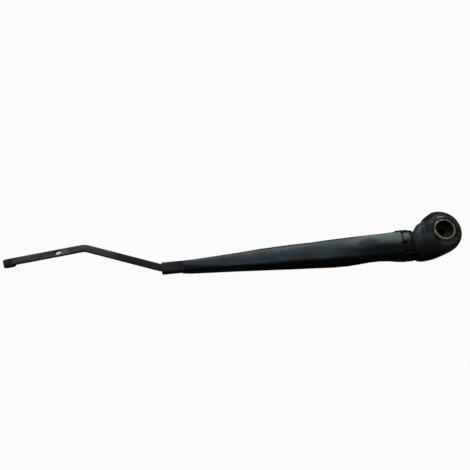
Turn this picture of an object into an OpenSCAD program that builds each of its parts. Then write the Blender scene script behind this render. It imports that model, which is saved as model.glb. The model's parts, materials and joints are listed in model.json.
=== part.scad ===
// Wiper arm: die-cast head, hinged pressed-steel channel, tension spring and flat rod with a hook.
// Millimetres. The origin is on the spindle axis at the underside of the head, +Z runs up the
// spindle, and the arm runs towards -X.

/* [Head] */
// radius of the round boss at its widest
boss_r = 26.6; // [25.5:0.1:28]
// height of the widest level of the head
waist_z = 8; // [6:0.5:9]
// height of the ledge round the nut recess
ledge_z = 22; // [21.5:0.1:22.5]
// width of the rounded shoulder between the widest level and the ledge
shoulder_w = 7.4; // [6.8:0.1:8]
// width of the ledge
ledge_w = 5.4; // [5:0.1:5.8]
// height of the raised rim
rim_z = 25; // [24:0.1:25.5]
// width of the raised rim
rim_w = 2.6; // [2.3:0.1:2.9]
// height of the floor that the nut bears on
nut_floor_z = 14; // [12:0.5:15]
// radius of the spindle bore
bore_r = 5; // [4.5:0.1:5.5]
// thickness of the cast skirt
skirt_t = 3.2; // [2.8:0.1:4]

/* [Hinge] */
// distance of the hinge pin from the spindle axis
hinge_reach = 48; // [47.5:0.1:48.5]
// height of the hinge pin
hinge_z = 15.5; // [15.3:0.1:15.7]
// offset of the arm's centre line from the spindle axis
arm_offset = 11.3; // [11:0.1:11.6]
// radius of the head's knuckle
knuckle_r = 9.5; // [9.3:0.1:9.6]
// half the width of the knuckle
knuckle_hw = 12.3; // [12.1:0.1:12.4]
// radius of the hinge pin
pin_r = 3; // [2.8:0.05:3]
// radius of the rivet heads on the hinge pin
rivet_r = 5; // [4.5:0.1:5.4]
// height of the rivet heads
rivet_h = 1.6; // [1.2:0.1:1.8]
// outer radius of a hinge bush
bush_r = 4.3; // [4.1:0.1:4.3]
// length of a hinge bush inside the knuckle
bush_len = 7.5; // [6:0.5:8]
// radius of a bush's flange
bush_flange_r = 6.2; // [5.5:0.1:6.5]
// thickness of a bush's flange
bush_flange_t = 0.8; // [0.6:0.1:0.8]
// radial clearance of every running fit
run_clear = 0.05; // [0.03:0.01:0.08]

/* [Spring hook] */
// distance from the hinge pin down to the spring pin
spring_pin_drop = 7.2; // [7.2:0.1:7.4]
// radius of the spring pin
spring_pin_r = 1.8; // [1.6:0.1:1.8]
// outer radius of the hook's eye
eye_r = 3.8; // [3.6:0.1:3.8]
// thickness of the hook
hook_t = 2.5; // [2.2:0.1:2.6]
// width of the slot in the knuckle for the hook
slot_w = 3.3; // [3.2:0.1:3.6]
// length of the hook from pin to spring
hook_len = 30; // [29:0.5:31]
// inner radius of the hook's bow round the hinge pin
bow_r = 3.5; // [3.5:0.05:3.6]
// width of the hook's bar
bar_w = 2.9; // [2.6:0.1:3]

/* [Spring] */
// mean radius of the coils
coil_r = 4.1; // [3.9:0.05:4.2]
// radius of the wire
wire_r = 1; // [0.9:0.05:1]
// number of whole turns
coil_turns = 28; // [24:1:32]

/* [Channel] */
// thickness of the pressed sheet
sheet_t = 1.3; // [1.2:0.05:1.3]
// half the width over the ears
ear_hw = 14.6; // [14.6:0.05:14.8]
// radius of the ears round the hinge pin
ear_r = 9.3; // [9:0.1:9.5]
// distance from the hinge pin to the rear edge of the top face
top_back = 8; // [7.8:0.1:8.4]
// height of the top face at its rear edge
top_z = 25; // [24.8:0.1:25.1]
// fall of the top face for each millimetre along the arm
top_fall = 0.0318; // [0.0314:0.0001:0.0321]
// where the crimp begins, measured from the spindle axis
crimp_start = 333; // [332:0.5:334]
// where the crimp ends
crimp_end = 357.6; // [356.8:0.1:358]
// where the rod's first bend begins
bend_at = 356.6; // [356:0.1:357]

/* [Rod] */
// width of the flat rod
rod_w = 9; // [8.5:0.1:9]
// thickness of the flat rod
rod_t = 3; // [2.8:0.1:3]
// distance from the rod's end to the middle of the spring hole
hole_margin = 3.6; // [3.4:0.1:4]
// where the spring is hooked in, measured from the spindle axis
spring_hole_reach = 196; // [195.9:0.1:196.2]
// radius of the spring hole
spring_hole_r = 2.1; // [2:0.05:2.2]
// radius of the first bend at the rod's middle
bend_1_r = 12; // [9:0.5:14]
// angle of the first bend
bend_1_a = 20.4; // [18:0.1:22]
// straight length between the two bends
middle_len = 94.1; // [90:0.1:98]
// radius of the second bend at the rod's middle
bend_2_r = 20; // [14:0.5:24]
// angle of the second bend
bend_2_a = 26.1; // [24:0.1:28]
// straight length from the second bend to the twist
outer_len = 83.4; // [80:0.1:86]
// distance of the oblong hole from the second bend
hole_at = 28.6; // [24:0.1:34]
// length of the oblong hole
hole_l = 7.6; // [6:0.1:9]
// width of the oblong hole
hole_w = 4.6; // [3.5:0.1:5]
// length of the twist before the hook
twist_len = 8; // [7:0.5:9]
// roll of the hook against the rod
twist_roll = 8; // [6:0.5:10]
// sideways bend at the twist
twist_yaw = 3.8; // [2:0.1:5]
// inner radius of the end hook
hook_r = 4.1; // [3.9:0.05:4.3]
// length of the hook's lower leg
leg_len = 13; // [10:0.5:18]

/* [Hidden] */
$fn = 48;
paint = [0.16, 0.18, 0.19];
arm_y = -arm_offset;
ledge_r = boss_r - shoulder_w;
rim_r = ledge_r - ledge_w;
recess_r = rim_r - rim_w;
hub_r = recess_r + 1.3;
rod_start = spring_hole_reach - hole_margin;
cut_y = 3 * ear_hw;
lip_r = 12.5;
hinge_x = -hinge_reach;
// the hook's lowest edge stands on the plane that the head stands on
rod_mid_z = (2 * hook_r + 1.5 * rod_t) * cos(twist_roll) + rod_w / 2 * sin(twist_roll);
rod_z = rod_mid_z - rod_t / 2;
// the spring's line of pull, from the spring pin to the rod's hole
spring_x = hinge_x + 0.3;
spring_z = hinge_z - spring_pin_drop;
pull_dx = spring_hole_reach + spring_x;
pull_dz = rod_mid_z - spring_z;
pull_len = sqrt(pull_dx * pull_dx + pull_dz * pull_dz);
pull_a = atan(pull_dz / pull_dx);
hook_hole_r = wire_r + 0.85;
coil_from = hook_len + 0.5 + coil_r;
coil_to = pull_len - 0.65 - coil_r;
cheek_out = knuckle_hw;
ear_in = ear_hw - sheet_t;

// outline of the head round the spindle axis: angle, then how far it lies outside the boss radius
outline = [[0, 0], [20, 0.2], [42, 1.3], [66, 2.1], [95, 2.3], [105, 2], [112, 1.6], [121, 1], [132, 0.2],
           [144, 0.8], [157, 3.1], [166, 5.9], [172, 8.2], [176, 10.6], [180, 10.7], [190, 11.3],
           [200, 13.3], [208, 17.4], [213, 20.7], [218, 22], [222, 21], [226, 19.6], [232, 16],
           [239, 12.1], [246, 9], [254, 6], [262, 3.7], [270, 2], [280, 0.7], [292, 0], [360, 0]];
// how square the shoulder is: 2 is round, more is squarer
shoulder = [[0, 2], [120, 2], [132, 1.9], [150, 1.7], [168, 1.8], [173, 2.2], [177, 3.4], [182, 4.6],
            [190, 5], [200, 5], [208, 4.5], [214, 3.8], [220, 3.1], [228, 2.6], [240, 2.3],
            [262, 2.1], [280, 2], [360, 2]];
head_phi = concat([for (a = [0:10:110]) a], [for (a = [118:7:160]) a], [for (a = [165:4:233]) a],
                  [for (a = [239:8:287]) a], [for (a = [296:10:350]) a]);
head_s = [0, 14, 28, 42, 56, 70, 80, 90];

// channel stations: distance from the spindle, half width at the top, half width at the lower edge
// of the near wall, height of the lower edge, radius of the upper corner, drop of the crowned top at
// that corner, and half width at the lower edge of the far wall
stations = [[56, ear_hw, 20.8, 5.4, 3.6, 0.6, 19.8], [62, ear_hw, 20.3, 6, 3.6, 0.6, 19.4],
            [72, ear_hw, 19.1, 8.1, 3.6, 0.6, 18.5], [85, 14.5, 18.3, 9.3, 3.7, 0.6, 17.9],
            [98, 14.3, 18.4, 8.6, 4, 0.7, 17.9], [110, 14.1, 19.1, 6.6, 4.4, 0.8, 18.3],
            [124, 13.9, 19.5, 4.8, 4.7, 0.8, 18.4], [142, 13.5, 19.3, 4.1, 4.8, 0.8, 18.1],
            [165, 12.7, 18, 4.1, 4.8, 0.8, 16.9], [195, 11.8, 16.5, 4.6, 4.6, 0.7, 16.2],
            [230, 10.8, 14.6, 5.4, 4.3, 0.6, 14.6], [262, 9.2, 12.9, 6.3, 4, 0.5, 12],
            [300, 7.3, 11.2, 7.4, 3.2, 0.3, 9.5], [322, 6.5, 10.2, 7.9, 2.4, 0.15, 8.2],
            [crimp_start, 6.2, 9, 8.9, 1.6, 0, 7.2]];
arc_steps = [0, 0.3, 0.6, 0.85];

function lift(x) = top_z - (x - (hinge_reach + top_back)) * top_fall;

module along_y(x, z, y0, y1, r) {
    translate([x, y1, z]) rotate([90, 0, 0]) cylinder(h = y1 - y0, r = r);
}

// draws a flat shape given in (x, z) as a plate from y0 to y1
module plate_y(y0, y1) {
    translate([0, y1, 0]) rotate([90, 0, 0]) linear_extrude(height = y1 - y0) children();
}

// the head's cast body: rings of points from the ledge down over the shoulder to the underside
module cast_body() {
    n = len(head_phi);
    tops = [for (s = head_s) for (a = head_phi)
        let (r1 = boss_r + lookup(a, outline), e = 2 / lookup(a, shoulder),
             r = ledge_r + (r1 - ledge_r) * pow(sin(s), e),
             z = waist_z + (ledge_z - waist_z) * pow(max(0, cos(s)), e))
        [r * cos(a), r * sin(a), z]];
    low = [for (a = head_phi) let (r = boss_r + lookup(a, outline) - 0.6) [r * cos(a), r * sin(a), 0]];
    rings = len(head_s) + 1;
    polyhedron(
        points = concat(tops, low),
        faces = concat(
            [[for (i = [n - 1:-1:0]) i]],
            [[for (i = [0:n - 1]) (rings - 1) * n + i]],
            [for (k = [0:rings - 2]) for (i = [0:n - 1]) [k * n + i, k * n + (i + 1) % n, (k + 1) * n + (i + 1) % n]],
            [for (k = [0:rings - 2]) for (i = [0:n - 1]) [k * n + i, (k + 1) * n + (i + 1) % n, (k + 1) * n + i]]));
}

// the barrel-shaped knuckle round the hinge pin
module knuckle() {
    translate([hinge_x, arm_y, hinge_z]) rotate([90, 0, 0]) rotate_extrude()
        polygon([[0, -knuckle_hw], [knuckle_r - 2.4, -knuckle_hw], [knuckle_r - 1.1, -knuckle_hw + 0.6],
                 [knuckle_r - 0.4, -knuckle_hw + 2], [knuckle_r, -knuckle_hw + 5], [knuckle_r, knuckle_hw - 5],
                 [knuckle_r - 0.4, knuckle_hw - 2], [knuckle_r - 1.1, knuckle_hw - 0.6],
                 [knuckle_r - 2.4, knuckle_hw], [0, knuckle_hw]]);
}

// the boss's round top: ledge, groove and raised rim, with the tube down to the underside
module boss_top() {
    rotate_extrude($fn = 96)
        polygon([[0, 4], [ledge_r + 0.6, 4], [ledge_r + 0.6, ledge_z - 0.9], [ledge_r, ledge_z - 0.1],
                 [ledge_r - 0.7, ledge_z + 0.5], [rim_r + 1, ledge_z + 0.9], [rim_r + 0.5, ledge_z + 1.4],
                 [rim_r, rim_z - 0.5], [rim_r - 0.5, rim_z], [0, rim_z]]);
}

module head() {
    color(paint) difference() {
        union() {
            difference() {
                cast_body();
                // hollow underside: a ring pocket round the boss and one in the neck
                rotate_extrude() polygon([[hub_r, -1], [boss_r - skirt_t, -1], [boss_r - skirt_t, 8],
                                          [boss_r - skirt_t - 3.5, 14], [hub_r + 3.5, 14], [hub_r + 1.5, 10]]);
                translate([-33.5, arm_y - 15, -1]) cube([15, 22, 12]);
                // room for the ears and their flared lips to swing
                along_y(hinge_x, hinge_z, arm_y + cheek_out, arm_y + cut_y, 10.3);
                along_y(hinge_x, hinge_z, arm_y - cut_y, arm_y - cheek_out, 10.3);
                along_y(hinge_x, hinge_z, arm_y + ear_hw + 1.2, arm_y + cut_y, lip_r + 0.4);
                along_y(hinge_x, hinge_z, arm_y - cut_y, arm_y - ear_hw - 1.2, lip_r + 0.4);
                // flat on the far shoulder of the neck
                translate([-24.8, -3.4, 20.7]) rotate([-9, -6, 0]) translate([-25, 0, 0]) cube([25, 30, 10]);
            }
            boss_top();
            cylinder(h = 10, r = hub_r);
            knuckle();
            plate_y(arm_y - cheek_out, arm_y + cheek_out)
                polygon([[hinge_x - 3.6, 4.6], [hinge_x + 1, 2.6], [-34, 2.6], [-34, 20.4],
                         [hinge_x + 8.2, 20.4], [hinge_x, hinge_z + 6], [hinge_x - 3.6, hinge_z]]);
        }
        // nut recess and the bore for the spindle
        translate([0, 0, nut_floor_z]) cylinder(h = 20, r = recess_r, $fn = 96);
        translate([0, 0, -1]) cylinder(h = nut_floor_z + 2, r = bore_r, $fn = 96);
        // hinge bore, spring pin bore and the slot that the spring hook swings in
        along_y(hinge_x, hinge_z, arm_y - cut_y, arm_y + cut_y, bush_r);
        along_y(spring_x, spring_z, arm_y - cut_y, arm_y + cut_y, spring_pin_r);
        plate_y(arm_y - slot_w / 2, arm_y + slot_w / 2) union() {
            translate([hinge_x, hinge_z])
                polygon([[-14, -20], [0.3, -20], [0.3, -3.2], [-2, -3.2], [-2, 14], [-14, 14]]);
            translate([spring_x, spring_z]) circle(r = eye_r + 0.6);
        }
    }
}

// a flanged plastic bush, with its flange outwards
module hinge_bush(side) {
    translate([hinge_x, arm_y + side * (cheek_out - bush_len), hinge_z]) rotate([-90 * side, 0, 0]) difference() {
        union() {
            cylinder(h = bush_len, r = bush_r);
            translate([0, 0, bush_len]) cylinder(h = bush_flange_t, r = bush_flange_r);
        }
        translate([0, 0, -1]) cylinder(h = bush_len + bush_flange_t + 2, r = pin_r + run_clear);
    }
}

module hinge_bush_far() {
    color([0.75, 0.74, 0.7]) hinge_bush(1);
}

module hinge_bush_near() {
    color([0.75, 0.74, 0.7]) hinge_bush(-1);
}

module hinge_pin() {
    color([0.3, 0.31, 0.32]) translate([hinge_x, arm_y, hinge_z]) rotate([90, 0, 0]) rotate_extrude()
        polygon([[0, -ear_hw - rivet_h], [rivet_r - 2, -ear_hw - rivet_h], [rivet_r - 0.6, -ear_hw - rivet_h + 0.6],
                 [rivet_r, -ear_hw], [pin_r, -ear_hw], [pin_r, ear_hw], [rivet_r, ear_hw],
                 [rivet_r - 0.6, ear_hw + rivet_h - 0.6], [rivet_r - 2, ear_hw + rivet_h], [0, ear_hw + rivet_h]]);
}

module spring_pin() {
    color([0.5, 0.5, 0.52]) along_y(spring_x, spring_z, arm_y - 10, arm_y + 10, spring_pin_r);
}

// places a shape whose +X runs along the spring's pull, from the spring pin
module on_pull_line() {
    translate([spring_x, arm_y, spring_z]) rotate([0, 180 + pull_a, 0]) children();
}

module spring_hook() {
    bow_x = spring_pin_drop - 0.04;
    bow_z = 0.78;
    bar_in = bow_z + bow_r;
    color([0.4, 0.4, 0.42]) on_pull_line() plate_y(-hook_t / 2, hook_t / 2) difference() {
        union() {
            circle(r = eye_r);
            intersection() {
                translate([bow_x, bow_z]) difference() {
                    circle(r = bow_r + bar_w);
                    circle(r = bow_r);
                }
                translate([bow_x - 7, bow_z + 0.3]) square([7.01, 7]);
            }
            translate([bow_x, bar_in]) square([10.4, bar_w]);
            polygon([[16.4, bar_in], [hook_len - 1, -3], [hook_len + 1, 3], [18.2, bar_in + bar_w], [16.4, bar_in + bar_w]]);
            translate([hook_len, 0]) circle(r = 3.3);
        }
        circle(r = spring_pin_r + run_clear);
        translate([hook_len, 0]) circle(r = hook_hole_r);
    }
}

// points of the spring's wire: [place, first direction, second direction] at each section
coil_steps = coil_turns * 10;
coil_end_a = 360 * coil_turns + 90;
coil_path = concat(
    [for (b = [250:-20:110]) [[coil_from + coil_r * cos(b), coil_r * sin(b), 0], [cos(b), sin(b), 0], [0, 0, -1]]],
    [[[coil_from, coil_r, 0], [0, 1, 0], [1, 0, -1]]],
    [for (i = [1:coil_steps - 1]) let (a = coil_end_a * i / coil_steps)
        [[coil_from + (coil_to - coil_from) * i / coil_steps, coil_r * cos(a), coil_r * sin(a)],
         [0, cos(a), sin(a)], [1, 0, 0]]],
    [[[coil_to, 0, coil_r], [0, 0, 1], [1, 1, 0]]],
    [for (b = [70:-20:-70]) [[coil_to + coil_r * cos(b), 0, coil_r * sin(b)], [cos(b), 0, sin(b)], [0, 1, 0]]]);

// the wire: an end loop, the coils and the other end loop, in one closed sweep
module spring() {
    last = len(coil_path) - 1;
    color([0.45, 0.46, 0.48]) on_pull_line() polyhedron(
        points = [for (g = coil_path) for (j = [0:5])
            g[0] + wire_r * cos(j * 60) * g[1] + wire_r * sin(j * 60) * g[2]],
        faces = concat(
            [[for (j = [0:5]) j]],
            [[for (j = [5:-1:0]) last * 6 + j]],
            [for (i = [0:last - 1]) for (j = [0:5]) [i * 6 + j, (i + 1) * 6 + j, (i + 1) * 6 + (j + 1) % 6]],
            [for (i = [0:last - 1]) for (j = [0:5])
                [i * 6 + j, (i + 1) * 6 + (j + 1) % 6, i * 6 + (j + 1) % 6]]));
}

// one half of a station's section, from the wall's foot up to the crown, at depth d in the sheet
function half_section(s, d, foot) =
    let (top = lift(s[0]), f = s[1] - s[4],
         lean = atan((foot - s[1]) / (top - s[3] - s[4])))
    concat(
        [[foot - d / cos(lean), s[3]]],
        [for (q = arc_steps) let (a = lean + (90 - lean) * q)
            [f + (s[4] - d) * cos(a), top - s[5] - s[4] + (s[4] - d) * sin(a)]],
        [[f, top - s[5] - d], [f / 2, top - s[5] / 4 - d]]);

function section(s) =
    let (o = half_section(s, 0, s[6]), i = half_section(s, sheet_t, s[6]),
         near_o = half_section(s, 0, s[2]), near_i = half_section(s, sheet_t, s[2]), m = len(o) - 1)
    concat([for (p = near_o) [-p[0], p[1]]], [[0, lift(s[0])]], [for (k = [m:-1:0]) o[k]],
           i, [[0, lift(s[0]) - sheet_t]], [for (k = [m:-1:0]) [-near_i[k][0], near_i[k][1]]]);

// the pressed channel, lofted through its stations
module channel_body() {
    rings = [for (s = stations) [for (p = section(s)) [-s[0], arm_y + p[0], p[1]]]];
    n = len(rings[0]);
    m = len(rings);
    e = (m - 1) * n;
    polyhedron(
        points = [for (g = rings) for (p = g) p],
        faces = concat(
            [for (i = [0:n / 2 - 2]) [i, i + 1, n - 2 - i]],
            [for (i = [0:n / 2 - 2]) [i, n - 2 - i, n - 1 - i]],
            [for (i = [0:n / 2 - 2]) [e + i, e + n - 2 - i, e + i + 1]],
            [for (i = [0:n / 2 - 2]) [e + i, e + n - 1 - i, e + n - 2 - i]],
            [for (k = [0:m - 2]) for (i = [0:n - 1]) [k * n + i, (k + 1) * n + i, (k + 1) * n + (i + 1) % n]],
            [for (k = [0:m - 2]) for (i = [0:n - 1]) [k * n + i, (k + 1) * n + (i + 1) % n, k * n + (i + 1) % n]]));
}

// the crimp: the sheet folded round the rod
module crimp() {
    hw = rod_w / 2;
    hi = rod_z + rod_t + sheet_t - 0.1;
    lo = rod_z - sheet_t;
    translate([-crimp_end, arm_y, 0]) rotate([90, 0, 90]) linear_extrude(height = crimp_end - crimp_start + 1)
        polygon([[-2.2, lo], [-hw - 3.4, lo], [-hw - 4.2, lo + 0.6], [-hw - 2.2, hi - 1.3], [-hw - 1.2, hi - 0.3],
                 [-hw - 0.1, hi], [hw + 0.1, hi], [hw + 1.2, hi - 0.3], [hw + 1.9, hi - 1.3], [hw + 2.7, lo + 0.6],
                 [hw + 2.1, lo], [2.2, lo], [2.2, rod_z], [hw + 1, rod_z], [hw + 0.4, rod_z + rod_t],
                 [-hw - 0.4, rod_z + rod_t], [-hw - 1, rod_z], [-2.2, rod_z]]);
}

// one ear: the side wall carried on round the hinge pin, with its lower lip flared outwards
module ear(side) {
    inner = arm_y + side * ear_in;
    outer = arm_y + side * ear_hw;
    difference() {
        union() {
            plate_y(min(inner, outer), max(inner, outer)) union() {
                translate([hinge_x, hinge_z]) circle(r = ear_r);
                polygon([[hinge_x, hinge_z - ear_r], [hinge_x, hinge_z + 6.5], [hinge_x - top_back, hinge_z + 5.4],
                         [hinge_x - 20, hinge_z + 4], [hinge_x - 20, hinge_z], [hinge_x - top_back, hinge_z - ear_r]]);
            }
            intersection() {
                translate([hinge_x - lip_r, arm_y, 0]) rotate([90, 0, 90]) linear_extrude(height = 2 * lip_r)
                    polygon([[side * ear_in, hinge_z - 4.6], [side * ear_hw, hinge_z - 4.6],
                             [side * (ear_hw + 6.6), hinge_z - 9.9], [side * (ear_hw + 5), hinge_z - 9.9],
                             [side * ear_in, hinge_z - 6]]);
                union() {
                    along_y(hinge_x, hinge_z, arm_y - cut_y, arm_y + cut_y, 10.1);
                    along_y(hinge_x, hinge_z, arm_y - cut_y, arm_y - ear_hw - 1.5, lip_r);
                    along_y(hinge_x, hinge_z, arm_y + ear_hw + 1.5, arm_y + cut_y, lip_r);
                }
            }
        }
        along_y(hinge_x, hinge_z, arm_y - cut_y, arm_y + cut_y, pin_r);
    }
}

module channel() {
    color(paint) union() {
        channel_body();
        crimp();
        ear(1);
        ear(-1);
    }
}

// a straight length of rod, then whatever follows it
module straight(l) {
    translate([0, -rod_w / 2, 0]) cube([l, rod_w, rod_t]);
    translate([l, 0, 0]) children();
}

// a hair larger than the rod, so that two stretches of it join cleanly in one solid
module joint_collar() {
    translate([-0.15, -rod_w / 2 - 0.02, -0.02]) cube([0.3, rod_w + 0.04, rod_t + 0.04]);
}

// a bend on edge, to the left when a is positive
module bend(a, r) {
    s = sign(a);
    translate([0, s * r, 0]) {
        rotate([0, 0, s > 0 ? -90 : 90 + a]) rotate_extrude(angle = abs(a), $fn = 120)
            translate([r - rod_w / 2, 0]) square([rod_w, rod_t]);
        rotate([0, 0, a]) translate([0, -s * r, 0]) {
            joint_collar();
            children();
        }
    }
}

// the twist: sections of the rod, rolled and turned a little further each
module twist() {
    n = 6;
    corners = [[-rod_w / 2, -rod_t / 2], [rod_w / 2, -rod_t / 2], [rod_w / 2, rod_t / 2], [-rod_w / 2, rod_t / 2]];
    pts = [for (i = [0:n]) for (c = corners)
        let (q = i / n, r = -twist_roll * q * q * (3 - 2 * q), w = twist_yaw * q,
             y = c[0] * cos(r) - c[1] * sin(r), z = c[0] * sin(r) + c[1] * cos(r))
        [twist_len * q - y * sin(w), y * cos(w), z + rod_t / 2]];
    polyhedron(points = pts, faces = concat(
        [[0, 1, 2, 3]], [[4 * n + 3, 4 * n + 2, 4 * n + 1, 4 * n]],
        [for (i = [0:n - 1]) for (j = [0:3]) [4 * i + j, 4 * i + 4 + j, 4 * i + 4 + (j + 1) % 4]],
        [for (i = [0:n - 1]) for (j = [0:3]) [4 * i + j, 4 * i + 4 + (j + 1) % 4, 4 * i + (j + 1) % 4]]));
}

// the end hook: the rod turned back under itself
module end_hook() {
    lead = 0.8;
    translate([0, -rod_w / 2, 0]) cube([lead, rod_w, rod_t]);
    joint_collar();
    translate([lead, 0, -hook_r]) rotate([90, 0, 0]) rotate([0, 0, -90]) translate([0, 0, -rod_w / 2])
        rotate_extrude(angle = 180, $fn = 96) translate([hook_r, 0]) square([rod_t, rod_w]);
    translate([lead - leg_len, -rod_w / 2, -2 * hook_r - rod_t]) cube([leg_len, rod_w, rod_t]);
}

module rod() {
    color(paint) difference() {
        translate([-rod_start, arm_y, rod_z]) rotate([0, 0, 180])
            straight(bend_at - rod_start) bend(-bend_1_a, bend_1_r)
            straight(middle_len) bend(bend_2_a, bend_2_r) difference() {
                straight(outer_len) union() {
                    joint_collar();
                    twist();
                    translate([twist_len, 0, rod_t / 2]) rotate([-twist_roll, 0, twist_yaw])
                        translate([0, 0, -rod_t / 2]) end_hook();
                }
                translate([hole_at, 0, -1]) linear_extrude(height = rod_t + 2) union() {
                    square([hole_l - hole_w, hole_w], center = true);
                    translate([(hole_l - hole_w) / 2, 0]) circle(r = hole_w / 2);
                    translate([(hole_w - hole_l) / 2, 0]) circle(r = hole_w / 2);
                }
            }
        translate([-spring_hole_reach, arm_y, rod_z - 1]) cylinder(h = rod_t + 2, r = spring_hole_r);
    }
}

head();
hinge_bush_far();
hinge_bush_near();
hinge_pin();
spring_pin();
spring_hook();
spring();
channel();
rod();
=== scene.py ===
import json
import math

import bpy
from mathutils import Matrix, Vector

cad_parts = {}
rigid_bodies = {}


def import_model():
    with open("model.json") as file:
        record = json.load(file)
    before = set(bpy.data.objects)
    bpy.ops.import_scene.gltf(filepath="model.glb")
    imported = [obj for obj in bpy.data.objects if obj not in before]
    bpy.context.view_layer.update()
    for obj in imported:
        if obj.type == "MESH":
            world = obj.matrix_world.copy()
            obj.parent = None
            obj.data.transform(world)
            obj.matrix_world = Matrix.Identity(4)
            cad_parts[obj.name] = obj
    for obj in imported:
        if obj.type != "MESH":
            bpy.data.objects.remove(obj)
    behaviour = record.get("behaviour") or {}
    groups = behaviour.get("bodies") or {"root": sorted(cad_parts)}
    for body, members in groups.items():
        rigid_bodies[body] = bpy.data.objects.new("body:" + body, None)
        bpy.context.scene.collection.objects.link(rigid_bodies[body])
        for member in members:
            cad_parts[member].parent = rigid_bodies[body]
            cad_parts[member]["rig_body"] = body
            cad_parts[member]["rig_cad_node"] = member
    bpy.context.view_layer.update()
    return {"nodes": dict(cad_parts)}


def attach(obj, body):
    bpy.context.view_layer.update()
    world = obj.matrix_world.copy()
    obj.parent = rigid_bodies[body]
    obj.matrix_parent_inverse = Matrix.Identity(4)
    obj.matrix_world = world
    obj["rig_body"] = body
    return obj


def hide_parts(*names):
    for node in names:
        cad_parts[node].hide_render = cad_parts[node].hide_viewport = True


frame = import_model()

MM = 0.001

# on the head: radii from the spindle's axis of the nut recess, the rim, the step in the ledge and the
# ledge, and the height of the rim's face
RECESS_R = 11.2 * MM
RIM_R = 13.8 * MM
STEP_R = 18.2 * MM
LEDGE_R = 19.2 * MM
RIM_Z = 25 * MM

# on the arm: the channel's middle line, the rear edge of its top, where its crimp begins, and the middle
# of the rod's oblong hole in mm
ARM_Y = -11.3 * MM
EARS_X = -56 * MM
CRIMP_X = -333 * MM
HOLE_MIDDLE = (-491.2, 25.7, 0)

# in a copy of a solid, points this near are merged, faces this flat are joined and, where a radius is
# given, edges sharper than this are rounded
SAME_POINT = 0.002 * MM
FLAT_DEG = 0.4
SHARP_DEG = 40

SMOOTH = {"interpolation_type": "SMOOTHSTEP"}
TIMES = {"operation": "MULTIPLY"}
PLUS = {"operation": "ADD"}
MINUS = {"operation": "SUBTRACT"}
MOST = {"operation": "MAXIMUM"}
COLOUR = {"data_type": "RGBA"}


def hexed(code):
    """A sRGB hex colour as linear RGBA."""
    parts = [int(code[i:i + 2], 16) / 255 for i in (1, 3, 5)]
    return (*[c / 12.92 if c <= 0.04045 else ((c + 0.055) / 1.055) ** 2.4 for c in parts], 1.0)


def shown(sockets):
    """The sockets that the node's settings leave in use."""
    return [s for s in sockets if s.enabled]


def add(tree, kind, *values, **settings):
    """Adds a shader node. Settings are its own properties; values fill its inputs in order, each a
    number, a colour, another node or one of another node's outputs. Named fills inputs by name."""
    made = tree.nodes.new("ShaderNode" + kind)
    named = settings.pop("named", {})
    for key, value in settings.items():
        setattr(made, key, value)
    pairs = list(zip(shown(made.inputs), values)) + [(made.inputs[k], v) for k, v in named.items()]
    for socket, value in pairs:
        if isinstance(value, bpy.types.Node):
            value = shown(value.outputs)[0]
        if isinstance(value, bpy.types.NodeSocket):
            tree.links.new(value, socket)
        else:
            socket.default_value = value
    return made


def begin(name):
    """A new material, its node tree, and the coordinates node's outputs, in metres."""
    material = bpy.data.materials.new(name)
    material.use_nodes = True
    material.node_tree.nodes.clear()
    return material, material.node_tree, add(material.node_tree, "TexCoord").outputs


def finish(material, tree, looks, height, depth):
    """Gives the material its surface, with a fine relief of the given depth."""
    relief = add(tree, "Bump", named={"Strength": 1.0, "Distance": depth, "Height": height})
    body = add(tree, "BsdfPrincipled", named={**looks, "Normal": relief})
    add(tree, "OutputMaterial", body)
    return material


def swing(tree, noise, span):
    """A noise turned into an offset of up to half the span to either side."""
    return add(tree, "Math", add(tree, "Math", noise, 0.5, **MINUS), span, **TIMES)


def patch(tree, at, centre, edge, core, ragged=0.0):
    """A round mask about a centre in mm: 0 beyond its edge and 1 within its core. A ragged offset, in
    metres, makes its outline wander."""
    away = add(tree, "VectorMath", at, [c * MM for c in centre], operation="DISTANCE").outputs["Value"]
    away = add(tree, "Math", away, ragged, **PLUS)
    return add(tree, "MapRange", away, edge * MM, core * MM, **SMOOTH)


def worn_corners(tree, reach):
    """A mask of the corners, which rub thin first."""
    soft = add(tree, "Bevel", reach, samples=6)
    normal = add(tree, "NewGeometry").outputs["Normal"]
    turned = add(tree, "VectorMath", soft, normal, operation="DOT_PRODUCT").outputs["Value"]
    return add(tree, "MapRange", turned, 0.995, 0.9, **SMOOTH)


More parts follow.
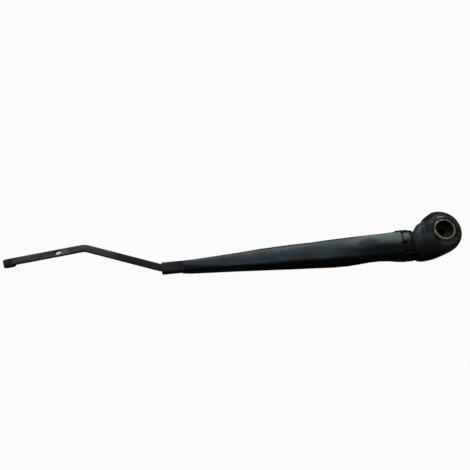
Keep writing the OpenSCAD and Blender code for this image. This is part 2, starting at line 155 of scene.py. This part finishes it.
# Stoved satin paint on a zinc die casting: nearly black, with a faint orange peel from the spray gun.
# It carries a painted bluish-grey highlight on the knuckle and the neck, painted shade blackens the near
# flank and the low parts, and the rim is rubbed down to dull zinc.
def head_finish():
    m, t, own = begin("stoved_paint_on_die_casting")
    obj = own["Object"]
    x, y, z = add(t, "SeparateXYZ", obj).outputs
    flat = add(t, "CombineXYZ", x, y, 0.0)
    radius = add(t, "VectorMath", flat, operation="LENGTH").outputs["Value"]
    cloud = add(t, "TexNoise", obj, 1 / (9 * MM), 4.0, 0.6)
    fine = add(t, "TexNoise", obj, 1 / (1.6 * MM), 3.0, 0.55)
    peel = add(t, "TexNoise", obj, 1 / (0.9 * MM), 2.0, 0.5)
    drift = swing(t, cloud, 8 * MM)
    y_rough = add(t, "Math", y, drift, **PLUS)
    tone = add(t, "MapRange", cloud, 0.36, 0.66, **SMOOTH)
    skin = add(t, "Mix", tone, hexed("#090f0f"), hexed("#111b1b"), **COLOUR)

    # painted light and shade: the neck's slope is painted a lighter blue grey where light falls on it, and
    # the near flank below it and everything low down are painted black as shade
    lit_slope = add(t, "Math", add(t, "MapRange", y_rough, -14 * MM, 0.0, **SMOOTH),
                add(t, "MapRange", x, -16 * MM, -23 * MM, **SMOOTH), **TIMES)
    skin = add(t, "Mix", lit_slope, skin, hexed("#161f27"), **COLOUR)
    flank_shade = add(t, "Math", add(t, "MapRange", y_rough, -3 * MM, -19 * MM, **SMOOTH),
                add(t, "MapRange", x, 6 * MM, -12 * MM, 0.35, 1.0, **SMOOTH), **TIMES)
    shade = add(t, "Math", flank_shade, add(t, "MapRange", z, 17 * MM, 11 * MM, **SMOOTH), **MOST)
    skin = add(t, "Mix", add(t, "Math", shade, 0.85, **TIMES), skin, hexed("#060605"), **COLOUR)

    # painted shade: the outer shoulder is painted darker than the ledge, and so is the hollow between the
    # neck and the ledge
    outer_shade = add(t, "Math", add(t, "MapRange", radius, LEDGE_R + 0.4 * MM, LEDGE_R + 3.3 * MM, **SMOOTH),
                add(t, "MapRange", x, -20 * MM, -8 * MM, **SMOOTH), **TIMES)
    hollow_shade = patch(t, flat, (-17.5, 5.5, 0), 10, 4.5, drift)
    shoulder_hollow_shade = add(t, "Math", add(t, "Math", outer_shade, 0.6, **TIMES), add(t, "Math", hollow_shade, 0.8, **TIMES), **MOST)
    skin = add(t, "Mix", shoulder_hollow_shade, skin, hexed("#060a07"), **COLOUR)

    # painted highlight: the top of the knuckle and the corner of the neck are painted a lighter bluish grey
    # where light catches them
    knuckle = add(t, "Math", add(t, "MapRange", x, -43.5 * MM, -47 * MM, **SMOOTH),
                  add(t, "MapRange", y_rough, -11 * MM, -1 * MM, **SMOOTH), **TIMES)
    neck = add(t, "Math", add(t, "MapRange", x, -22.5 * MM, -25.5 * MM, **SMOOTH),
               add(t, "MapRange", x, -39 * MM, -36 * MM, **SMOOTH), **TIMES)
    neck = add(t, "Math", neck, add(t, "MapRange", y, 1.8 * MM, 4.2 * MM, **SMOOTH), **TIMES)
    neck = add(t, "Math", neck, add(t, "MapRange", z, 7 * MM, 11 * MM, **SMOOTH), **TIMES)
    painted_highlight = add(t, "Math", knuckle, add(t, "Math", neck, 0.22, **TIMES), **PLUS)
    skin = add(t, "Mix", painted_highlight, skin, hexed("#5b666d"), **COLOUR)

    # painted shade: near black in the gap between the knuckle and the channel
    gap_shade = add(t, "MapRange", x, -52.8 * MM, -53.6 * MM, **SMOOTH)
    skin = add(t, "Mix", add(t, "Math", gap_shade, 0.9, **TIMES), skin, hexed("#050606"), **COLOUR)

    # chalk in streaks that run outwards over the shoulder, about 3 mm apart
    turn = add(t, "Math", add(t, "Math", y, x, operation="ARCTAN2"), 7.0, **TIMES)
    spokes = add(t, "CombineXYZ", turn, add(t, "Math", radius, 60.0, **TIMES), 0.0)
    streak = add(t, "MapRange", add(t, "TexNoise", spokes, 1.0, 3.0, 0.6), 0.44, 0.62, **SMOOTH)
    shoulder = add(t, "Math", add(t, "MapRange", radius, LEDGE_R - 3.2 * MM, LEDGE_R - 0.2 * MM, **SMOOTH),
                   add(t, "MapRange", x, -14 * MM, -2 * MM, **SMOOTH), **TIMES)
    streak = add(t, "Math", streak, shoulder, **TIMES)
    skin = add(t, "Mix", add(t, "Math", streak, 0.6, **TIMES), skin, hexed("#2c2d28"), **COLOUR)

    # a lighter grey on the near side of the ledge, close under the rim
    pale_under_rim = add(t, "Math", add(t, "MapRange", y, -9 * MM, -13 * MM, **SMOOTH),
                  add(t, "MapRange", x, -11 * MM, -5 * MM, **SMOOTH), **TIMES)
    pale_under_rim = add(t, "Math", pale_under_rim,
                  add(t, "MapRange", radius, LEDGE_R + 0.8 * MM, LEDGE_R - 1.7 * MM, **SMOOTH), **TIMES)
    skin = add(t, "Mix", add(t, "Math", pale_under_rim, 0.8, **TIMES), skin, hexed("#45463d"), **COLOUR)

    # the step that the turning tool left in the ledge
    step = add(t, "Math", add(t, "Math", radius, STEP_R, **MINUS), operation="ABSOLUTE")
    step = add(t, "MapRange", step, 0.8 * MM, 0.2 * MM, **SMOOTH)
    skin = add(t, "Mix", add(t, "Math", step, 0.3, **TIMES), skin, hexed("#383c3c"), **COLOUR)

    # rust run-off low on the flanks, in blots of about 2 mm
    stain = add(t, "Math", add(t, "MapRange", z, 14 * MM, 6 * MM, **SMOOTH),
                add(t, "MapRange", fine, 0.42, 0.62, **SMOOTH), **TIMES)
    skin = add(t, "Mix", add(t, "Math", stain, 0.5, **TIMES), skin, hexed("#26120c"), **COLOUR)

    # olive grease and corrosion in the nut recess and the bore
    inside = add(t, "Math", add(t, "MapRange", radius, RECESS_R + 0.5 * MM, RECESS_R - 0.1 * MM, **SMOOTH),
                 add(t, "MapRange", z, RIM_Z - 0.6 * MM, RIM_Z - 3 * MM, **SMOOTH), **TIMES)
    blots = add(t, "MapRange", fine, 0.45, 0.68, **SMOOTH)
    grime = add(t, "Mix", blots, hexed("#0c0e0a"), hexed("#2a2a1f"), **COLOUR)
    skin = add(t, "Mix", inside, skin, grime, **COLOUR)

    # dull zinc on the rim, rubbed a little off its middle: grey, with creamy oxide on the near side
    edge = add(t, "VectorMath", flat, (0.0, 0.8 * MM, 0.0), operation="DISTANCE").outputs["Value"]
    edge = add(t, "Math", edge, swing(t, add(t, "TexNoise", obj, 1 / (3 * MM), 4.0), 1.8 * MM), **PLUS)
    bare = add(t, "Math", add(t, "MapRange", edge, RIM_R + 0.1 * MM, RIM_R - 0.7 * MM, **SMOOTH),
               add(t, "MapRange", edge, RECESS_R, RECESS_R + 0.7 * MM, **SMOOTH), **TIMES)
    bare = add(t, "Math", bare, add(t, "MapRange", z, RIM_Z - 0.8 * MM, RIM_Z - 0.2 * MM, **SMOOTH), **TIMES)
    mottle = add(t, "MapRange", add(t, "TexNoise", obj, 1 / (4 * MM)), 0.4, 0.6, **SMOOTH)
    zinc = add(t, "Mix", mottle, hexed("#4a4b49"), hexed("#7d7d79"), **COLOUR)
    near = add(t, "MapRange", y, 1 * MM, -10 * MM, **SMOOTH)
    zinc = add(t, "Mix", near, zinc, hexed("#8a866e"), **COLOUR)
    skin = add(t, "Mix", bare, skin, zinc, **COLOUR)

    # a painted highlight in a short arc on the ledge beyond the rim, and a worn spot on the neck's corner
    ledge_highlight = add(t, "Math", add(t, "Math", radius, STEP_R - 0.5 * MM, **MINUS), operation="ABSOLUTE")
    ledge_highlight = add(t, "MapRange", ledge_highlight, 1.0 * MM, 0.4 * MM, **SMOOTH)
    ledge_highlight = add(t, "Math", ledge_highlight, patch(t, flat, (-0.9, 18.1, 0), 5.0, 3.4), **TIMES)
    ledge_highlight = add(t, "Math", ledge_highlight, 0.8, **TIMES)
    highlight_and_worn_spot = add(t, "Math", patch(t, flat, (-21.4, 15.2, 0), 1.7, 0.8), ledge_highlight, **MOST)

    # paint rubbed thin along the sharper corners; the same pale grey carries the painted highlight and the
    # worn spot
    rub = add(t, "Math", worn_corners(t, 0.5 * MM), add(t, "MapRange", cloud, 0.5, 0.64, **SMOOTH), **TIMES)
    rub = add(t, "Math", rub, add(t, "Math", 1.0, shade, **MINUS), **TIMES)
    rub = add(t, "Math", add(t, "Math", rub, 0.25, **TIMES), highlight_and_worn_spot, **MOST)
    rub = add(t, "Math", rub, add(t, "Math", 1.0, inside, **MINUS), **TIMES)
    skin = add(t, "Mix", rub, skin, hexed("#9a9d9b"), **COLOUR)

    rough_grime_and_shade = add(t, "Math", add(t, "Math", inside, shade, **MOST), 0.3, **TIMES)
    rough = add(t, "Math", add(t, "MapRange", cloud, 0.3, 0.7, 0.36, 0.5), rough_grime_and_shade, **PLUS)
    height = add(t, "Math", add(t, "Math", peel, 0.6, **TIMES), cloud, **PLUS)
    height = add(t, "Math", height, add(t, "Math", step, -1.2, **TIMES), **PLUS)
    matt = add(t, "Math", shade, shoulder_hollow_shade, **MOST)
    return finish(m, t, {
        "Base Color": skin, "Metallic": add(t, "Math", bare, 0.5, **TIMES), "Roughness": rough,
        "Specular IOR Level": add(t, "MapRange", matt, 0.0, 1.0, 0.3, 0.12)}, height, 0.07 * MM)


# Black powder coat on pressed steel. It keeps a satin blue-black on top, with a painted highlight towards the
# far fold, most of all near the hinge; the walls carry painted shade in dull black, with rust creeping up
# from their feet.
def channel_finish():
    m, t, own = begin("powder_coat_on_pressed_steel")
    obj = own["Object"]
    x, y, z = add(t, "SeparateXYZ", obj).outputs
    up = add(t, "SeparateXYZ", own["Normal"]).outputs[2]
    along = add(t, "Mapping", obj, named={"Scale": (0.35, 1.0, 1.0)})
    cloud = add(t, "TexNoise", along, 1 / (12 * MM), 4.0, 0.6)
    fine = add(t, "TexNoise", along, 1 / (2.2 * MM), 3.0, 0.6)
    peel = add(t, "TexNoise", obj, 1 / (1.1 * MM), 2.0, 0.5)
    tone = add(t, "MapRange", cloud, 0.36, 0.66, **SMOOTH)
    skin = add(t, "Mix", tone, hexed("#13212a"), hexed("#1d313b"), **COLOUR)

    # across the top, from -1 at the near fold to 1 at the far one, in a width that tapers from 29 mm to
    # 13 mm; a painted highlight lightens the top towards the far fold
    half = add(t, "MapRange", x, -335 * MM, -85 * MM, 6.4 * MM, 14.6 * MM)
    across = add(t, "Math", add(t, "Math", y, ARM_Y, **MINUS), half, operation="DIVIDE")
    across = add(t, "Math", across, swing(t, cloud, 0.6), **PLUS)
    hinge_end = add(t, "MapRange", x, -150 * MM, -95 * MM, **SMOOTH)
    broad = add(t, "Math", add(t, "MapRange", across, -0.15, 0.85, **SMOOTH), hinge_end, **TIMES)
    thin = add(t, "Math", add(t, "MapRange", across, 0.35, 1.0, **SMOOTH), 0.4, **TIMES)
    painted_highlight = add(t, "Math", add(t, "Math", broad, 0.8, **TIMES), thin, **MOST)
    painted_highlight = add(t, "Math", painted_highlight,
                add(t, "MapRange", x, CRIMP_X + 1 * MM, CRIMP_X + 43 * MM, 0.3, 1.0, **SMOOTH), **TIMES)
    skin = add(t, "Mix", painted_highlight, skin, hexed("#6e7a7e"), **COLOUR)

    # painted shade darkens the near half towards the hinge and the ears, which are greasy too; the near verge
    # before the crimp, the crimp itself and a long smudge on the middle, 98 mm from the spindle, are darker
    # as well
    darkened = add(t, "Math", add(t, "MapRange", across, 0.3, -0.35, **SMOOTH), hinge_end, **TIMES)
    crimp = add(t, "MapRange", x, CRIMP_X + 4 * MM, CRIMP_X, **SMOOTH)
    darkened = add(t, "Math", darkened, add(t, "Math", crimp, 0.52, **TIMES), **PLUS)
    ears = add(t, "MapRange", x, EARS_X - 0.4 * MM, EARS_X + 0.6 * MM, **SMOOTH)
    darkened = add(t, "Math", darkened, add(t, "Math", ears, 0.85, **TIMES), **MOST)
    verge = add(t, "MapRange", x, CRIMP_X + 2 * MM, CRIMP_X + 58 * MM, -0.05, -0.85)
    verge = add(t, "MapRange", add(t, "Math", across, verge, **MINUS), 0.25, -0.1, **SMOOTH)
    verge = add(t, "Math", verge, add(t, "Math", 1.0, crimp, **MINUS), **TIMES)
    darkened = add(t, "Math", darkened, add(t, "Math", verge, 0.85, **TIMES), **MOST)
    long = add(t, "Mapping", obj, named={"Scale": (0.45, 1.0, 0.0)})
    darkened = add(t, "Math", darkened, add(t, "Math", patch(t, long, (-44, -8, 0), 9, 3), 0.6, **TIMES), **MOST)
    skin = add(t, "Mix", darkened, skin, hexed("#0b0e0e"), **COLOUR)

    # painted shade: walls that face sideways are painted dull black
    shaded_wall = add(t, "MapRange", up, 0.66, 0.42, **SMOOTH)
    skin = add(t, "Mix", add(t, "Math", shaded_wall, 0.88, **TIMES), skin, hexed("#060707"), **COLOUR)

    # paler road dust low on the walls, from the crimp towards the middle of the channel
    dust = add(t, "Math", add(t, "MapRange", x, -218 * MM, -250 * MM, **SMOOTH),
               add(t, "MapRange", z, 12 * MM, 8.5 * MM, **SMOOTH), **TIMES)
    dust = add(t, "Math", add(t, "Math", dust, shaded_wall, **TIMES), 0.75, **TIMES)
    skin = add(t, "Mix", dust, skin, hexed("#2c2621"), **COLOUR)

    # rust on the walls' feet for the last 40 mm before the hinge, in blots 2 mm high and 6 mm long
    z_rough = add(t, "Math", z, swing(t, fine, 10 * MM), **PLUS)
    foot = add(t, "MapRange", z_rough, 15.5 * MM, 10 * MM, **SMOOTH)
    rust = add(t, "Math", add(t, "MapRange", x, -100 * MM, -70 * MM, **SMOOTH), foot, **TIMES)
    rust = add(t, "Math", rust, shaded_wall, **TIMES)
    blots = add(t, "MapRange", fine, 0.4, 0.6, **SMOOTH)
    oxide = add(t, "Mix", blots, hexed("#150906"), hexed("#351a12"), **COLOUR)
    skin = add(t, "Mix", add(t, "Math", rust, 0.8, **TIMES), skin, oxide, **COLOUR)

    # edges rubbed grey here and there
    rub = add(t, "Math", worn_corners(t, 0.4 * MM), add(t, "MapRange", cloud, 0.52, 0.66, **SMOOTH), **TIMES)
    skin = add(t, "Mix", add(t, "Math", rub, 0.2, **TIMES), skin, hexed("#454c4d"), **COLOUR)

    matt = add(t, "Math", shaded_wall, darkened, **MOST)
    rough = add(t, "MapRange", fine, 0.3, 0.7, 0.36, 0.46)
    rough = add(t, "Math", rough, add(t, "Math", matt, 0.3, **TIMES), **PLUS)
    height = add(t, "Math", add(t, "Math", peel, 0.5, **TIMES), fine, **PLUS)
    return finish(m, t, {
        "Base Color": skin, "Roughness": rough,
        "Specular IOR Level": add(t, "MapRange", matt, 0.0, 1.0, 0.3, 0.1)}, height, 0.04 * MM)


# Dipped satin paint on flat steel strip: weathered to a blue-grey black, darker on the stretch in front
# of the crimp and at the hook, and worn through to a beige primer beside the oblong hole.
def rod_finish():
    m, t, own = begin("dipped_paint_on_strip_steel")
    obj = own["Object"]
    x, y, z = add(t, "SeparateXYZ", obj).outputs
    up = add(t, "SeparateXYZ", own["Normal"]).outputs[2]
    along = add(t, "Mapping", obj, named={"Scale": (0.4, 1.0, 1.0)})
    cloud = add(t, "TexNoise", along, 1 / (10 * MM), 4.0, 0.6)
    fine = add(t, "TexNoise", obj, 1 / (1.8 * MM), 3.0, 0.6)
    peel = add(t, "TexNoise", obj, 1 / (0.9 * MM), 2.0, 0.5)
    tone = add(t, "MapRange", cloud, 0.36, 0.64, **SMOOTH)
    skin = add(t, "Mix", tone, hexed("#1b2427"), hexed("#2b363a"), **COLOUR)
    dark = add(t, "MapRange", x, -424 * MM, -408 * MM, **SMOOTH)
    hook = add(t, "MapRange", x, -538 * MM, -546 * MM, **SMOOTH)
    darkened = add(t, "Math", add(t, "Math", dark, 0.85, **TIMES), add(t, "Math", hook, 0.7, **TIMES), **PLUS)
    skin = add(t, "Mix", darkened, skin, hexed("#0d0f12"), **COLOUR)

    # a worn smear on the hinge side of the hole, and a dark halo of grime round the hole; both are 1.3
    # times as long as wide, and their centres lie on the spread plane
    spread = add(t, "CombineXYZ", x, add(t, "Math", y, 1.3, **TIMES), 0.0)
    wander = swing(t, fine, 6 * MM)
    grime = patch(t, spread, (-488, 29, 0), 7, 4.5, wander)
    smear = patch(t, spread, (-478, 27, 0), 7, 2, wander)
    skin = add(t, "Mix", add(t, "Math", grime, 0.85, **TIMES), skin, hexed("#120f0d"), **COLOUR)
    skin = add(t, "Mix", add(t, "Math", smear, 0.5, **TIMES), skin, hexed("#6f685e"), **COLOUR)

    # painted shade: the narrow faces are matt and painted nearly black, and so is a margin of 1 mm along the
    # near edge
    eased = add(t, "VectorTransform", add(t, "Bevel", 2.6 * MM, samples=12), vector_type="NORMAL",
                convert_from="WORLD", convert_to="OBJECT")
    lean = add(t, "SeparateXYZ", eased).outputs[1]
    shaded_wall = add(t, "Math", add(t, "MapRange", up, 0.8, 0.4, **SMOOTH),
               add(t, "MapRange", lean, -0.08, -0.32, **SMOOTH), **MOST)
    skin = add(t, "Mix", add(t, "Math", shaded_wall, 0.85, **TIMES), skin, hexed("#070808"), **COLOUR)
    rub = add(t, "Math", worn_corners(t, 0.35 * MM), add(t, "MapRange", cloud, 0.52, 0.64, **SMOOTH), **TIMES)
    skin = add(t, "Mix", add(t, "Math", rub, 0.2, **TIMES), skin, hexed("#54534d"), **COLOUR)

    matt = add(t, "Math", shaded_wall, darkened, **MOST)
    worn = add(t, "Math", add(t, "Math", smear, matt, **MOST), 0.25, **TIMES)
    rough = add(t, "Math", add(t, "MapRange", fine, 0.3, 0.7, 0.4, 0.52), worn, **PLUS)
    height = add(t, "Math", add(t, "Math", peel, 0.5, **TIMES), fine, **PLUS)
    return finish(m, t, {
        "Base Color": skin, "Roughness": rough,
        "Specular IOR Level": add(t, "MapRange", matt, 0.0, 1.0, 0.3, 0.16)}, height, 0.04 * MM)


# Drawn or turned steel left bare in old grease: a dull grey metal, brown where water got in.
def greased_steel(name, light, dark, rust):
    m, t, own = begin(name)
    fine = add(t, "TexNoise", own["Object"], 1 / (1.2 * MM), 3.0)
    cloud = add(t, "TexNoise", own["Object"], 1 / (6 * MM), 4.0)
    brown = add(t, "Math", add(t, "MapRange", cloud, 0.44, 0.62, **SMOOTH), rust, **TIMES)
    skin = add(t, "Mix", fine, hexed(dark), hexed(light), **COLOUR)
    skin = add(t, "Mix", brown, skin, hexed("#4a2d1c"), **COLOUR)
    return finish(m, t, {
        "Base Color": skin, "Metallic": add(t, "Math", 1.0, brown, **MINUS),
        "Roughness": add(t, "MapRange", fine, 0.3, 0.7, 0.35, 0.55)}, fine, 0.02 * MM)


# Moulded acetal, white when new: waxy, greyed by road dirt in blots of 2 mm.
def bush_finish():
    m, t, own = begin("moulded_acetal")
    dirt = add(t, "MapRange", add(t, "TexNoise", own["Object"], 1 / (2 * MM), 4.0), 0.4, 0.65, **SMOOTH)
    skin = add(t, "Mix", dirt, hexed("#b9b4a4"), hexed("#6f6a5c"), **COLOUR)
    return finish(m, t, {
        "Base Color": skin, "Roughness": add(t, "MapRange", dirt, 0.0, 1.0, 0.38, 0.6), "IOR": 1.48,
        "Subsurface Weight": 0.05, "Subsurface Scale": 1 * MM}, dirt, 0.02 * MM)


def only(piece):
    """Selects one object alone."""
    bpy.ops.object.select_all(action="DESELECT")
    piece.select_set(True)
    bpy.context.view_layer.objects.active = piece


def dressed(node, name, material, body, smooth_deg, round_mm=0.0):
    """A merged and smoothly shaded copy of a CAD solid that stands in for it."""
    only(frame["nodes"][node])
    bpy.ops.object.duplicate()
    piece = bpy.context.object
    piece.name = piece.data.name = name
    piece.parent = None
    piece.matrix_world = Matrix.Identity(4)
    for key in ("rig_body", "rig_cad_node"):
        if key in piece:
            del piece[key]
    bpy.ops.object.mode_set(mode="EDIT")
    bpy.ops.mesh.select_all(action="SELECT")
    bpy.ops.mesh.remove_doubles(threshold=SAME_POINT)
    bpy.ops.mesh.dissolve_limited(angle_limit=math.radians(FLAT_DEG))
    bpy.ops.object.mode_set(mode="OBJECT")
    only(piece)
    if round_mm:
        rounded = piece.modifiers.new("rounded_edges", "BEVEL")
        rounded.width = round_mm * MM
        rounded.segments = 2
        rounded.limit_method = "ANGLE"
        rounded.angle_limit = math.radians(SHARP_DEG)
        rounded.use_clamp_overlap = True
        rounded.miter_outer = "MITER_ARC"
        bpy.ops.object.modifier_apply(modifier=rounded.name)
    bpy.ops.object.shade_smooth_by_angle(angle=math.radians(smooth_deg))
    piece.data.materials.clear()
    piece.data.materials.append(material)
    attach(piece, body)
    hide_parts(node)
    return piece


def pull(piece, centre, reach, move, spread):
    """Moves the points within reach of centre, in mm, and draws their neighbours along to spread."""
    only(piece)
    bpy.ops.object.mode_set(mode="EDIT")
    bpy.ops.mesh.select_all(action="DESELECT")
    bpy.ops.object.mode_set(mode="OBJECT")
    for point in piece.data.vertices:
        point.select = (point.co - Vector(centre) * MM).length < reach * MM
    bpy.ops.object.mode_set(mode="EDIT")
    bpy.ops.transform.translate(value=Vector(move) * MM, use_proportional_edit=spread > 0,
                                proportional_edit_falloff="SMOOTH", proportional_size=max(spread, 1) * MM)
    bpy.ops.object.mode_set(mode="OBJECT")


head_paint = head_finish()
channel_paint = channel_finish()
rod_paint = rod_finish()
spring_wire = greased_steel("drawn_spring_steel_in_grease", "#8b8a86", "#5a5956", 0.7)
pin_steel = greased_steel("turned_steel_pin", "#a5a4a0", "#77756f", 0.5)
acetal = bush_finish()

# the neck's far corner is a little fuller than the solid's, and the boss's flank beside it slimmer
head = dressed("head", "cast_head", head_paint, "head_body", 34)
pull(head, (-27.5, 9.5, 16), 3.5, (-1.7, 2.9, 0.0), 9)
pull(head, (-14.0, 21.5, 14), 5, (0.9, -2.0, 0.0), 7)

dressed("channel", "pressed_channel", channel_paint, "arm_body", 34)

# the hook's lower leg ends sooner than the solid's
rod = dressed("rod", "strip_rod", rod_paint, "arm_body", 30, 0.35)
pull(rod, (-540.9, 15.1, 1.5), 6, (-9.6, -1.6, 0.0), 0)

# the other pieces show the solids themselves
for node, material in (("hinge_bush_far", acetal), ("hinge_bush_near", acetal), ("hinge_pin", channel_paint),
                       ("spring_pin", pin_steel), ("spring_hook", spring_wire), ("spring", spring_wire)):
    frame["nodes"][node].data.materials.clear()
    frame["nodes"][node].data.materials.append(material)


# A grey floor that keeps the arm's shadow. The camera sees it nearly white, except where the arm shuts
# it in: down the bore, and through the oblong hole for as long as the rod lies low over it.
def lay_floor():
    bpy.ops.object.select_all(action="DESELECT")
    bpy.ops.mesh.primitive_plane_add(size=8, location=(0, 0, -0.2 * MM))
    ground = bpy.context.object
    ground.name = "floor"
    m, t, own = begin("pale_floor")
    under_bore = patch(t, own["Object"], (0, 0, 0), 24, 18)
    daylight = add(t, "AmbientOcclusion", named={"Distance": 20 * MM}, samples=4).outputs["AO"]
    under_hole = add(t, "Math", patch(t, own["Object"], HOLE_MIDDLE, 5, 4),
                     add(t, "MapRange", daylight, 0.96, 0.72, **SMOOTH), **TIMES)
    open_floor = add(t, "Math", 1.0, add(t, "Math", under_bore, under_hole, **MOST), **MINUS)
    camera = add(t, "LightPath").outputs["Is Camera Ray"]
    seen = add(t, "Math", add(t, "Math", camera, 0.96, **TIMES), open_floor, **TIMES)
    lit = add(t, "BsdfDiffuse", hexed("#7c7c7c"))
    glow = add(t, "Emission", (1, 1, 1, 1), 1.0)
    add(t, "OutputMaterial", add(t, "MixShader", seen, lit, glow))
    ground.data.materials.append(m)


# A soft sky, dim round the horizon and brightest behind the arm and above it, and two softboxes.
def light_studio():
    world = bpy.data.worlds.new("studio")
    bpy.context.scene.world = world
    world.use_nodes = True
    t = world.node_tree
    t.nodes.clear()
    brightest = (-0.14, 0.56, 0.81)
    ray = add(t, "TexCoord").outputs["Generated"]
    high = add(t, "VectorMath", ray, brightest, operation="DOT_PRODUCT").outputs["Value"]
    sky = add(t, "MapRange", high, 0.1, 0.98, 0.06, 0.7, **SMOOTH)
    strength = add(t, "Mix", add(t, "LightPath").outputs["Is Camera Ray"], sky, 1.0, data_type="FLOAT")
    add(t, "OutputWorld", add(t, "Background", (1, 1, 1, 1), strength))
    middle = Vector((-0.27, 0, 0))
    for name, place, power, wide, deep in (("back_softbox", (-0.20, 1.1, 1.15), 9.0, 1.5, 0.5),
                                           ("left_softbox", (-1.7, 0.45, 1.0), 3.0, 0.7, 0.7)):
        bpy.ops.object.light_add(type="AREA", location=place)
        lamp = bpy.context.object
        lamp.name = name
        lamp.data.energy = power
        lamp.data.shape = "RECTANGLE"
        lamp.data.size = wide
        lamp.data.size_y = deep
        lamp.rotation_euler = (middle - Vector(place)).to_track_quat("-Z", "Y").to_euler()


# Above the arm and a little in front of it, as the photograph was taken.
def place_camera():
    bpy.ops.object.camera_add()
    cam = bpy.context.object
    cam.name = "photo_camera"
    cam.data.lens = 35
    cam.data.sensor_width = 36
    cam.data.clip_start = 0.01
    place = Vector((-280.51, -157.08, 568.22)) * MM
    back = Vector((-0.0307, -0.3075, 0.9511)).normalized()
    up = back.cross(Vector((0.9951, -0.0993, 0.0))).normalized()
    turn = Matrix((up.cross(back), up, back)).transposed().to_4x4()
    cam.matrix_world = Matrix.Translation(place) @ turn
    bpy.context.scene.camera = cam


lay_floor()
light_studio()
place_camera()
bpy.context.scene.view_settings.view_transform = "Standard"
